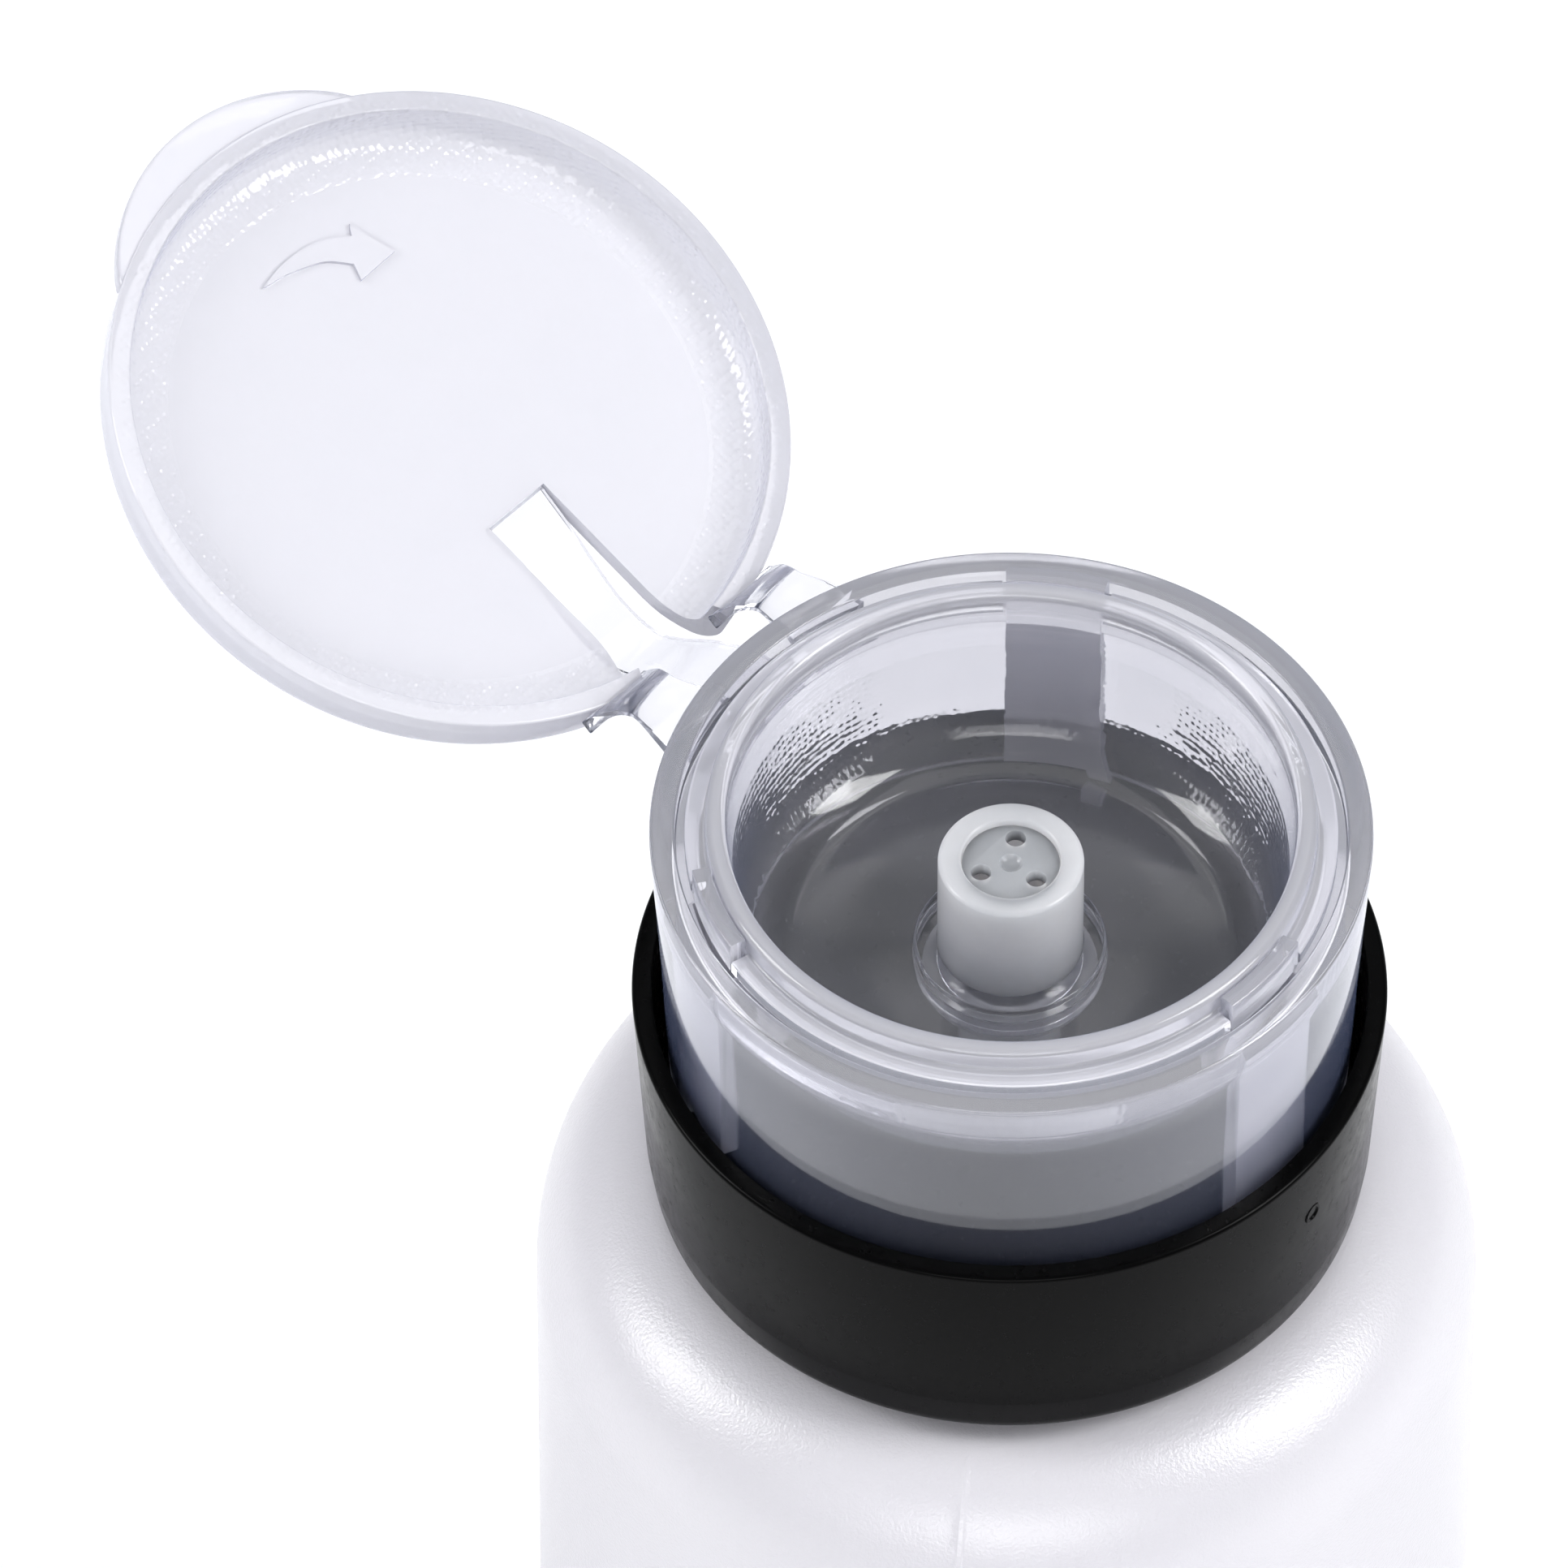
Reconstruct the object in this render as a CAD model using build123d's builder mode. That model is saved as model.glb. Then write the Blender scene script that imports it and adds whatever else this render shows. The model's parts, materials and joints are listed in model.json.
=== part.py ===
"""Push-down liquid dispenser bottle: a frosted bottle with a black screw collar, and a clear
head whose dish is pressed down against a spring so that liquid wells up through the centre post.

Frame: +Z is up, the origin is the centre of the bottle's base, and the lid hinges at +Y.
Rest pose: the head is up, and the lid is open against its stop.
"""
from build123d import *
from math import cos, radians, sin
import os

os.makedirs("parts", exist_ok=True)

# Driving dimensions, in millimetres and degrees.
rim_z = 125.0  # flat top of the head's rim, which all heights of the head hang from
rim_r = 22.5
body_r = 29.8  # bottle
body_wall = 1.1
base_fillet = 3.6
push_up_r = 20.0
push_up_height = 1.8
foot_ring_r = 24.0
shoulder_z = 91.7  # highest point of the shoulder, at the neck
shoulder_rise = 9.5
shoulder_run = 8.0
neck_r = 15.15
neck_bore_r = 12.8
neck_top_z = 102.0
thread_pitch = 4.233  # six threads to the inch, as on a 33-410 neck
thread_turns = 1.25
neck_thread_z = 95.4
neck_thread_crest_r = 16.2
neck_thread_half_width = 0.85
collar_thread_half_width = 0.75
thread_root = 0.3  # how far both threads are sunk into their walls
collar_thread_crest_r = 15.35
sleeve_top_r = 23.66  # collar
sleeve_crease_r = 22.85
sleeve_crease_z = 96.2
sleeve_foot_r = 21.5
sleeve_bore_r = 22.25
sleeve_top_z = rim_z - 15.25
sleeve_foot_z = rim_z - 32.65
threaded_skirt_r = 18.3
threaded_bore_r = 16.5
channel_floor_z = 96.5
deck_top_z = 106.0
deck_under_z = 104.5
deck_hole_r = 8.5
cylinder_r = 6.0  # pump
cylinder_wall = 1.2
cylinder_floor_z = 72.0
cap_flange_r = 6.8
housing_flange_r = 15.8
inlet_bore_r = 1.4
stem_r = 3.0
dip_tube_r = 2.3
dip_tube_foot_z = 4.0
dish_lip_r = 19.0  # head
dish_lip_z = rim_z + 1.4
dish_wall = 1.2
dish_floor_z = rim_z - 11.0
post_r = 4.56
post_top_z = rim_z - 2.85
post_foot_z = 110.4
disc_r = 3.05
disc_top_z = post_top_z - 0.45
outlet_hole_r = 0.72
outlet_circle_r = 2.0
tab_angles = (34.0, 154.0, 274.0)
tab_width = 6.4
lid_ring_r = 22.1  # lid
lid_ring_inner_r = 20.7
lid_height = 4.3
lid_plate = 1.2
lid_gap = 0.25  # between the closed lid's ring face and the rim
lid_lip_r = 24.8
lid_lip_half_angle = 29.0
arrow_height = 0.35
arrow_tail = (-2.2, -14.0)
arrow_outer_shoulder = (4.9, -13.0)
arrow_outer_barb = (5.4, -13.7)
arrow_tip = (6.4, -10.5)
arrow_inner_barb = (3.2, -10.4)
arrow_inner_shoulder = (3.6, -11.5)
slot_width = 5.0
slot_end_y = 7.0
hinge_y = 24.0
hinge_z = rim_z - 2.8
open_angle = 160.0
strap_inner_x = 3.0
strap_outer_x = 8.4
strap_thickness = 0.55
tongue_width = 4.6
tongue_thickness = 0.9


# Bottle: natural polyethylene, one blown shell with a pushed-up base.
with BuildPart() as bottle:
    with BuildSketch(Plane.XZ):
        with BuildLine():
            outer_base = Line((0, push_up_height), (push_up_r, push_up_height))
            push_up = Line(outer_base @ 1, (foot_ring_r, 0))
            foot = Line(push_up @ 1, (body_r - base_fillet, 0))
            heel = JernArc(foot @ 1, (1, 0), base_fillet, 90)
            Line(heel @ 1, (body_r, shoulder_z - shoulder_rise))
            EllipticalCenterArc(
                (body_r - shoulder_run, shoulder_z - shoulder_rise),
                shoulder_run,
                shoulder_rise,
                start_angle=0,
                arc_size=90,
            )
            neck_ledge = Line((body_r - shoulder_run, shoulder_z), (neck_r, shoulder_z))
            neck = Line(neck_ledge @ 1, (neck_r, neck_top_z))
            land = Line(neck @ 1, (neck_bore_r, neck_top_z))
            bore = Line(land @ 1, (neck_bore_r, shoulder_z - body_wall))
            Line(bore @ 1, (body_r - shoulder_run, shoulder_z - body_wall))
            EllipticalCenterArc(
                (body_r - shoulder_run, shoulder_z - shoulder_rise),
                shoulder_run - body_wall,
                shoulder_rise - body_wall,
                start_angle=0,
                arc_size=90,
            )
            inner_wall = Line(
                (body_r - body_wall, shoulder_z - shoulder_rise),
                (body_r - body_wall, base_fillet),
            )
            inner_heel = Line(inner_wall @ 1, (body_r - base_fillet, body_wall))
            inner_foot = Line(inner_heel @ 1, (foot_ring_r + 0.4, body_wall))
            inner_rise = Line(inner_foot @ 1, (push_up_r + 0.4, push_up_height + body_wall))
            inner_base = Line(inner_rise @ 1, (0, push_up_height + body_wall))
            Line(inner_base @ 1, (0, push_up_height))
        make_face()
    revolve(axis=Axis.Z)
    with BuildLine(Plane.XY.offset(neck_thread_z)) as neck_helix:
        Helix(pitch=thread_pitch, height=thread_turns * thread_pitch, radius=neck_r)
    with BuildSketch(
        Plane(neck_helix.line @ 0, x_dir=(1, 0, 0), z_dir=neck_helix.line % 0)
    ):
        thread_depth = neck_thread_crest_r - neck_r
        Polygon(
            (-thread_root, -neck_thread_half_width),
            (0, -neck_thread_half_width),
            (thread_depth, -neck_thread_half_width / 2),
            (thread_depth, neck_thread_half_width / 2),
            (0, neck_thread_half_width),
            (-thread_root, neck_thread_half_width),
            align=None,
        )
    sweep(path=neck_helix.line, is_frenet=True)
bottle.part.label = "bottle"
export_step(bottle.part, "parts/bottle.step")


# Screw collar: black polypropylene. The outer sleeve and the threaded skirt leave a ring
# channel between them, in which the skirt of the head goes up and down.
with BuildPart() as screw_collar:
    with BuildSketch(Plane.XZ):
        with BuildLine():
            sleeve_top = Line((sleeve_bore_r, sleeve_top_z), (sleeve_top_r - 0.35, sleeve_top_z))
            edge_round = Line(sleeve_top @ 1, (sleeve_top_r, sleeve_top_z - 0.35))
            sleeve_side = Line(edge_round @ 1, (sleeve_crease_r, sleeve_crease_z))
            foot_curve = ThreePointArc(
                sleeve_side @ 1,
                (sleeve_crease_r - 0.3, sleeve_foot_z + 1.4),
                (sleeve_foot_r, sleeve_foot_z + 0.2),
            )
            sleeve_foot = Line(foot_curve @ 1, (sleeve_foot_r - 0.3, sleeve_foot_z))
            foot_face = Line(sleeve_foot @ 1, (20.4, sleeve_foot_z))
            foot_inside = Line(foot_face @ 1, (20.4, channel_floor_z - 1.5))
            web_under = Line(foot_inside @ 1, (threaded_skirt_r, channel_floor_z - 1.5))
            skirt_outside = Line(web_under @ 1, (threaded_skirt_r, sleeve_foot_z + 0.2))
            skirt_foot = Line(skirt_outside @ 1, (threaded_bore_r, sleeve_foot_z + 0.2))
            threaded_bore = Line(skirt_foot @ 1, (threaded_bore_r, deck_under_z))
            deck_under = Line(threaded_bore @ 1, (deck_hole_r, deck_under_z))
            deck_edge = Line(deck_under @ 1, (deck_hole_r, deck_top_z))
            deck_top = Line(deck_edge @ 1, (threaded_skirt_r - 0.6, deck_top_z))
            deck_round = Line(deck_top @ 1, (threaded_skirt_r, deck_top_z - 0.6))
            channel_inside = Line(deck_round @ 1, (threaded_skirt_r, channel_floor_z))
            channel_floor = Line(channel_inside @ 1, (sleeve_bore_r, channel_floor_z))
            Line(channel_floor @ 1, (sleeve_bore_r, sleeve_top_z))
        make_face()
    revolve(axis=Axis.Z)
    # The female thread runs half a pitch below the neck's, so the two pull against each other.
    with BuildLine(Plane.XY.offset(neck_thread_z - thread_pitch / 2)) as collar_helix:
        Helix(pitch=thread_pitch, height=thread_turns * thread_pitch, radius=threaded_bore_r)
    with BuildSketch(
        Plane(collar_helix.line @ 0, x_dir=(-1, 0, 0), z_dir=collar_helix.line % 0)
    ):
        thread_depth = threaded_bore_r - collar_thread_crest_r
        Polygon(
            (-thread_root, -collar_thread_half_width),
            (0, -collar_thread_half_width),
            (thread_depth, -collar_thread_half_width / 2),
            (thread_depth, collar_thread_half_width / 2),
            (0, collar_thread_half_width),
            (-thread_root, collar_thread_half_width),
            align=None,
        )
    sweep(path=collar_helix.line, is_frenet=True)
screw_collar.part.label = "screw_collar"
export_step(screw_collar.part, "parts/screw_collar.step")


# Neck gasket: foamed polyethylene ring between the bottle's land and the pump's flange.
gasket_z = neck_top_z + 0.1
gasket_thickness = 0.9
with BuildPart() as neck_gasket:
    with BuildSketch(Plane.XY.offset(gasket_z)):
        Circle(housing_flange_r + 0.1)
        Circle(neck_bore_r + 0.1, mode=Mode.SUBTRACT)
    extrude(amount=gasket_thickness)
neck_gasket.part.label = "neck_gasket"
export_step(neck_gasket.part, "parts/neck_gasket.step")


# Pump housing: flange, cylinder, cone to the inlet ball's seat, and the dip-tube socket below.
flange_z = gasket_z + gasket_thickness
flange_top_z = deck_under_z - 0.2
ball_seat_z = 66.4
ball_chamber_r = 2.9
socket_foot_z = 56.0
socket_top_z = 65.0
with BuildPart() as pump_housing:
    with BuildSketch(Plane.XZ):
        with BuildLine():
            Polyline(
                (cap_flange_r + 0.05, flange_top_z),
                (housing_flange_r, flange_top_z),
                (housing_flange_r, flange_z),
                (cylinder_r + cylinder_wall + 1.2, flange_z),
                (cylinder_r + cylinder_wall, flange_z - 1.4),
                (cylinder_r + cylinder_wall, cylinder_floor_z - 0.8),
                (ball_chamber_r + 1.2, cylinder_floor_z - 3.2),
                (ball_chamber_r + 1.2, socket_top_z + 1.0),
                (dip_tube_r + 1.2, socket_top_z - 1.0),
                (dip_tube_r + 1.1, socket_foot_z),
                (dip_tube_r + 0.35, socket_foot_z),
                (dip_tube_r + 0.02, socket_foot_z + 1.0),
                (dip_tube_r + 0.02, socket_top_z),
                (inlet_bore_r, socket_top_z),
                (inlet_bore_r, ball_seat_z),
                (ball_chamber_r, ball_seat_z + 1.5),
                (ball_chamber_r, cylinder_floor_z),
                (cylinder_r, cylinder_floor_z),
                (cylinder_r, flange_top_z - 1.0),
                (cap_flange_r + 0.05, flange_top_z - 1.0),
                close=True,
            )
        make_face()
    revolve(axis=Axis.Z)
    # Three lugs over the ball chamber keep the inlet ball out of the spring.
    with BuildSketch(Plane.XY.offset(cylinder_floor_z - 0.7)):
        with PolarLocations(2.45, 3):
            Rectangle(1.3, 0.9)
    extrude(amount=0.7)
    # Vent hole that lets air in as the liquid is drawn off.
    with BuildSketch(Plane.YZ.offset(cylinder_r - 0.5)):
        with Locations((0, 99.5)):
            Circle(0.6)
    extrude(amount=cylinder_wall + 1.0, mode=Mode.SUBTRACT)
pump_housing.part.label = "pump_housing"
export_step(pump_housing.part, "parts/pump_housing.step")


# Housing cap: the bush that closes the cylinder and guides the stem.
cap_foot_z = 98.3
with BuildPart() as housing_cap:
    with BuildSketch(Plane.XZ):
        with BuildLine():
            Polyline(
                (stem_r + 0.1, cap_foot_z),
                (cylinder_r - 0.02, cap_foot_z),
                (cylinder_r - 0.02, flange_top_z - 1.0),
                (cap_flange_r, flange_top_z - 1.0),
                (cap_flange_r, flange_top_z + 0.2),
                (stem_r + 0.5, flange_top_z + 0.2),
                (stem_r + 0.1, flange_top_z - 0.2),
                close=True,
            )
        make_face()
    revolve(axis=Axis.Z)
housing_cap.part.label = "housing_cap"
export_step(housing_cap.part, "parts/housing_cap.step")


# Inlet ball: steel check valve at the foot of the cylinder, just off its conical seat.
inlet_ball_r = 2.0
inlet_ball_z = ball_seat_z + 1.55
with BuildPart() as inlet_ball:
    with Locations((0, 0, inlet_ball_z)):
        Sphere(inlet_ball_r)
inlet_ball.part.label = "inlet_ball"
export_step(inlet_ball.part, "parts/inlet_ball.step")


# Return spring: stainless wire between the cylinder's floor and the foot of the stem.
stem_foot_z = 92.0
spring_wire_r = 0.4
spring_coil_r = 4.1
spring_turns = 6.5
spring_foot_z = cylinder_floor_z + spring_wire_r + 0.05
spring_height = stem_foot_z - cylinder_floor_z - 2 * spring_wire_r - 0.15
with BuildPart() as return_spring:
    with BuildLine(Plane.XY.offset(spring_foot_z)) as coil:
        Helix(pitch=spring_height / spring_turns, height=spring_height, radius=spring_coil_r)
    with BuildSketch(Plane(coil.line @ 0, x_dir=(1, 0, 0), z_dir=coil.line % 0)):
        Circle(spring_wire_r)
    sweep(path=coil.line, is_frenet=True)
return_spring.part.label = "return_spring"
export_step(return_spring.part, "parts/return_spring.step")


# Piston stem: hollow, pressed into the nozzle post, with a foot flange for spring and seal.
stem_bore_r = 1.2
stem_top_z = 116.0
stem_flange_z = stem_foot_z + 1.2
with BuildPart() as piston_stem:
    with BuildSketch(Plane.XZ):
        with BuildLine():
            Polyline(
                (stem_bore_r, stem_foot_z),
                (4.5, stem_foot_z),
                (4.5, stem_flange_z),
                (stem_r, stem_flange_z),
                (stem_r, stem_top_z),
                (stem_bore_r, stem_top_z),
                close=True,
            )
        make_face()
    revolve(axis=Axis.Z)
piston_stem.part.label = "piston_stem"
export_step(piston_stem.part, "parts/piston_stem.step")


# Piston seal: soft polyethylene with two lips that wipe the cylinder.
seal_foot_z = stem_flange_z + 0.1
seal_top_z = 98.0
seal_lip_r = cylinder_r - 0.05
with BuildPart() as piston_seal:
    with BuildSketch(Plane.XZ):
        with BuildLine():
            Polyline(
                (stem_r + 0.05, seal_foot_z),
                (5.2, seal_foot_z),
                (seal_lip_r, seal_foot_z - 0.5),
                (seal_lip_r, seal_foot_z + 0.5),
                (5.1, seal_foot_z + 1.5),
                (5.1, seal_top_z - 1.2),
                (seal_lip_r, seal_top_z - 0.4),
                (seal_lip_r, seal_top_z),
                (5.4, seal_top_z),
                (4.6, seal_top_z - 1.2),
                (stem_r + 0.05, seal_top_z - 1.2),
                close=True,
            )
        make_face()
    revolve(axis=Axis.Z)
piston_seal.part.label = "piston_seal"
export_step(piston_seal.part, "parts/piston_seal.step")


# Dip tube: extruded polyethylene tube, cut at a slant so that it can't seal on the base.
with BuildPart() as dip_tube:
    with BuildSketch(Plane.XY.offset(dip_tube_foot_z)):
        Circle(dip_tube_r)
        Circle(dip_tube_r - 0.8, mode=Mode.SUBTRACT)
    extrude(amount=socket_top_z - dip_tube_foot_z)
    slant = Plane((0, 0, dip_tube_foot_z + dip_tube_r), z_dir=(0, -1, 1))
    split(bisect_by=slant, keep=Keep.TOP)
dip_tube.part.label = "dip_tube"
export_step(dip_tube.part, "parts/dip_tube.step")


# Nozzle post: the centre column. The stem goes in from below, the outlet ball sits in the
# chamber above it, and the holed disc closes the recess at the top.
ball_chamber_top_z = 119.7
disc_thickness = 1.0
with BuildPart() as nozzle_post:
    with BuildSketch(Plane.XZ):
        with BuildLine():
            Polyline(
                (stem_r, post_foot_z),
                (5.4, post_foot_z),
                (5.4, post_foot_z + 0.7),
                (post_r, post_foot_z + 0.8),
                (post_r, post_top_z - 0.25),
                (post_r - 0.25, post_top_z),
                (disc_r + 0.05, post_top_z),
                (disc_r + 0.05, disc_top_z - disc_thickness),
                (2.8, disc_top_z - disc_thickness),
                (2.8, ball_chamber_top_z),
                (2.0, ball_chamber_top_z),
                (2.0, stem_top_z),
                (stem_r, stem_top_z),
                close=True,
            )
        make_face()
    revolve(axis=Axis.Z)
nozzle_post.part.label = "nozzle_post"
export_step(nozzle_post.part, "parts/nozzle_post.step")


# Nozzle disc: three outlet holes around a shallow dimple.
with BuildPart() as nozzle_disc:
    with BuildSketch(Plane.XY.offset(disc_top_z)):
        Circle(disc_r)
        for angle in tab_angles:
            with Locations(
                (outlet_circle_r * cos(radians(angle)), outlet_circle_r * sin(radians(angle)))
            ):
                Circle(outlet_hole_r, mode=Mode.SUBTRACT)
    extrude(amount=-disc_thickness)
    with Locations((0, 0, disc_top_z + 0.6)):
        Sphere(0.95, mode=Mode.SUBTRACT)
nozzle_disc.part.label = "nozzle_disc"
export_step(nozzle_disc.part, "parts/nozzle_disc.step")


# Outlet ball: the second check valve, on the top edge of the stem's bore.
outlet_ball_r = 1.6
outlet_ball_z = stem_top_z + 1.2
with BuildPart() as outlet_ball:
    with Locations((0, 0, outlet_ball_z)):
        Sphere(outlet_ball_r)
outlet_ball.part.label = "outlet_ball"
export_step(outlet_ball.part, "parts/outlet_ball.step")


# Dish: clear cup with a raised lip. Its flange lies on the shell's shelf, notched for the
# shell's three tabs, and its socket hugs the post.
dish_flange_r = 20.3
dish_floor_r = 12.9
dish_floor_fillet = 3.6
dish_inner_r = dish_lip_r - dish_wall
with BuildPart() as dish:
    with BuildSketch(Plane.XZ):
        with BuildLine():
            Polyline(
                (post_r + 0.02, post_foot_z + 0.9),
                (post_r + 1.3, post_foot_z + 0.9),
                (post_r + 1.3, dish_floor_z - dish_wall),
                (dish_floor_r + 1.2, dish_floor_z - dish_wall),
                (dish_floor_r + dish_floor_fillet + 0.6, dish_floor_z + 1.4),
                (dish_inner_r + 0.3, rim_z - 3.4),
                (dish_lip_r - 0.1, rim_z - 1.1),
                (dish_flange_r, rim_z - 1.1),
                (dish_flange_r, rim_z - 0.1),
                (dish_lip_r, rim_z - 0.1),
                (dish_lip_r, dish_lip_z - 0.25),
                (dish_lip_r - 0.25, dish_lip_z),
                (dish_inner_r + 0.2, dish_lip_z),
                (dish_inner_r, dish_lip_z - 0.2),
            )
            floor_end = (dish_floor_r, dish_floor_z)
            wall_end = (dish_floor_r + dish_floor_fillet, dish_floor_z + dish_floor_fillet)
            Line((dish_inner_r, dish_lip_z - 0.2), wall_end)
            ThreePointArc(
                wall_end,
                (dish_floor_r + dish_floor_fillet * sin(radians(45)),
                 dish_floor_z + dish_floor_fillet * (1 - cos(radians(45)))),
                floor_end,
            )
            Polyline(
                floor_end,
                (post_r + 1.3, dish_floor_z),
                (post_r + 1.2, dish_floor_z + 0.2),
                (post_r + 0.02, dish_floor_z + 0.2),
                (post_r + 0.02, post_foot_z + 0.9),
            )
        make_face()
    revolve(axis=Axis.Z)
    for angle in tab_angles:
        with BuildSketch(Plane.XY.offset(rim_z - 1.2).rotated((0, 0, angle))):
            Circle(dish_flange_r + 0.5)
            Circle(dish_lip_r + 0.05, mode=Mode.SUBTRACT)
            with Locations((dish_flange_r, 0)):
                Rectangle(dish_flange_r, tab_width + 0.5, mode=Mode.INTERSECT)
        extrude(amount=1.2, mode=Mode.SUBTRACT)
dish.part.label = "dish"
export_step(dish.part, "parts/dish.step")


# Head shell: clear skirt with a flat rim. Its inner shelf carries the dish, and three legs
# hang from the shelf, each with a tab that rises through the dish's flange and a small foot.
skirt_foot_z = rim_z - 20.7
shelf_z = rim_z - 1.15
shelf_inner_r = 19.35
leg_inner_r = 19.15
leg_outer_r = 20.25
leg_foot_z = rim_z - 18.9
foot_width = 1.3
with BuildPart() as head_shell:
    with BuildSketch(Plane.XZ):
        with BuildLine():
            Polyline(
                (20.9, rim_z),
                (rim_r - 0.2, rim_z),
                (rim_r, rim_z - 0.2),
                (21.8, rim_z - 12.0),
                (21.4, skirt_foot_z),
                (20.45, skirt_foot_z),
                (20.75, rim_z - 12.0),
                (21.2, rim_z - 3.4),
                (shelf_inner_r + 0.3, rim_z - 2.5),
                (shelf_inner_r, rim_z - 2.2),
                (shelf_inner_r, shelf_z),
                (20.9, shelf_z),
                close=True,
            )
        make_face()
    revolve(axis=Axis.Z)
    for angle in tab_angles:
        leg_plane = Plane((0, 0, 0)).rotated((0, 0, angle))
        with BuildSketch(leg_plane.offset(leg_foot_z)):
            Circle(leg_outer_r)
            Circle(leg_inner_r, mode=Mode.SUBTRACT)
            with Locations((leg_outer_r, 0)):
                Rectangle(leg_outer_r, tab_width, mode=Mode.INTERSECT)
        extrude(amount=dish_lip_z - 0.2 - leg_foot_z)
        with BuildSketch(leg_plane.offset(skirt_foot_z)):
            Circle(leg_outer_r)
            Circle(leg_inner_r, mode=Mode.SUBTRACT)
            with Locations((leg_outer_r, (foot_width - tab_width) / 2)):
                Rectangle(leg_outer_r, foot_width, mode=Mode.INTERSECT)
        extrude(amount=leg_foot_z - skirt_foot_z)
head_shell.part.label = "head_shell"
export_step(head_shell.part, "parts/head_shell.step")


# Lid: drawn closed, then turned about the hinge to its open rest pose.
lid_ring_z = rim_z + lid_gap
lid_top_z = lid_ring_z + lid_height
hinge_axis = Axis((0, hinge_y, hinge_z), (1, 0, 0))
with BuildPart() as lid:
    with BuildSketch(Plane.XY.offset(lid_ring_z)):
        Circle(lid_ring_r)
    extrude(amount=lid_height, taper=2.0)
    fillet(lid.edges().group_by(Axis.Z)[-1], radius=1.6)
    with BuildSketch(Plane.XY.offset(lid_ring_z)):
        Circle(lid_ring_inner_r)
    extrude(amount=lid_height - lid_plate, taper=2.0, mode=Mode.SUBTRACT)
    # Finger lip opposite the hinge, faded out at both ends.
    with BuildSketch(Plane.XY.offset(lid_ring_z + 0.2)):
        with BuildLine():
            lip_end_x = lid_ring_r * sin(radians(lid_lip_half_angle))
            lip_end_y = -lid_ring_r * cos(radians(lid_lip_half_angle))
            ThreePointArc((-lip_end_x, lip_end_y), (0, -lid_lip_r), (lip_end_x, lip_end_y))
            Line((lip_end_x, lip_end_y), (lip_end_x - 0.8, lip_end_y + 1.2))
            ThreePointArc(
                (lip_end_x - 0.8, lip_end_y + 1.2), (0, -lid_ring_r + 0.9), (0.8 - lip_end_x, lip_end_y + 1.2)
            )
            Line((0.8 - lip_end_x, lip_end_y + 1.2), (-lip_end_x, lip_end_y))
        make_face()
    extrude(amount=1.3)
    # Slot for the snap tongue, from near the centre out through the hinge side of the wall.
    with BuildSketch(Plane.XY.offset(lid_ring_z - 1.0)):
        with Locations((0, (slot_end_y + lid_ring_r + 2.0) / 2)):
            Rectangle(slot_width, lid_ring_r + 2.0 - slot_end_y)
        mouth = 2.2
        with Locations((0, lid_ring_r + 1.0)):
            Rectangle(slot_width + 2 * mouth, 2 * mouth)
    extrude(amount=lid_height + 2.0, mode=Mode.SUBTRACT)
    # Raised turn arrow on the inside of the plate: a bowed, tapering band and a plain head.
    with BuildSketch(Plane.XY.offset(lid_top_z - lid_plate - arrow_height)):
        with BuildLine():
            ThreePointArc(arrow_tail, (1.6, -14.4), arrow_outer_shoulder)
            Polyline(
                arrow_outer_shoulder, arrow_outer_barb, arrow_tip, arrow_inner_barb, arrow_inner_shoulder
            )
            ThreePointArc(arrow_inner_shoulder, (1.0, -13.3), arrow_tail)
        make_face()
    extrude(amount=arrow_height + 0.1)
lid_open = lid.part.rotate(hinge_axis, -open_angle)
lid_open.label = "lid"
export_step(lid_open, "parts/lid.step")


# Cylinders that trim the hinge pieces flush with the shell and the open lid.
shell_trim = Pos(0, 0, rim_z - 10) * Cylinder(rim_r, 30)
lid_trim = (Pos(0, 0, lid_ring_z + 5) * Cylinder(lid_ring_r + 0.05, 14)).rotate(hinge_axis, -open_angle)


def hinge_strap(side):
    """A thin living-hinge strap from the shell's rim over to the wall of the open lid."""
    with BuildPart() as strap:
        with BuildSketch(Plane.YZ.offset(side * (strap_inner_x + strap_outer_x) / 2)):
            with BuildLine():
                top = ThreePointArc(
                    (rim_r - 2.2, rim_z - 1.9), (hinge_y + 0.8, rim_z - 2.1), (28.6, rim_z - 5.4)
                )
                end = Line(top @ 1, (28.6 - 0.35, rim_z - 5.4 - strap_thickness))
                under = ThreePointArc(
                    end @ 1,
                    (hinge_y + 0.6, rim_z - 2.1 - strap_thickness),
                    (rim_r - 2.2, rim_z - 1.9 - 2 * strap_thickness),
                )
                Line(under @ 1, top @ 0)
            make_face()
        extrude(amount=(strap_outer_x - strap_inner_x) / 2, both=True)
        add(shell_trim, mode=Mode.SUBTRACT)
        add(lid_trim, mode=Mode.SUBTRACT)
    return strap.part


for strap_name, side in (("hinge_strap_left", -1), ("hinge_strap_right", 1)):
    strap_part = hinge_strap(side)
    strap_part.label = strap_name
    export_step(strap_part, f"parts/{strap_name}.step")


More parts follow.
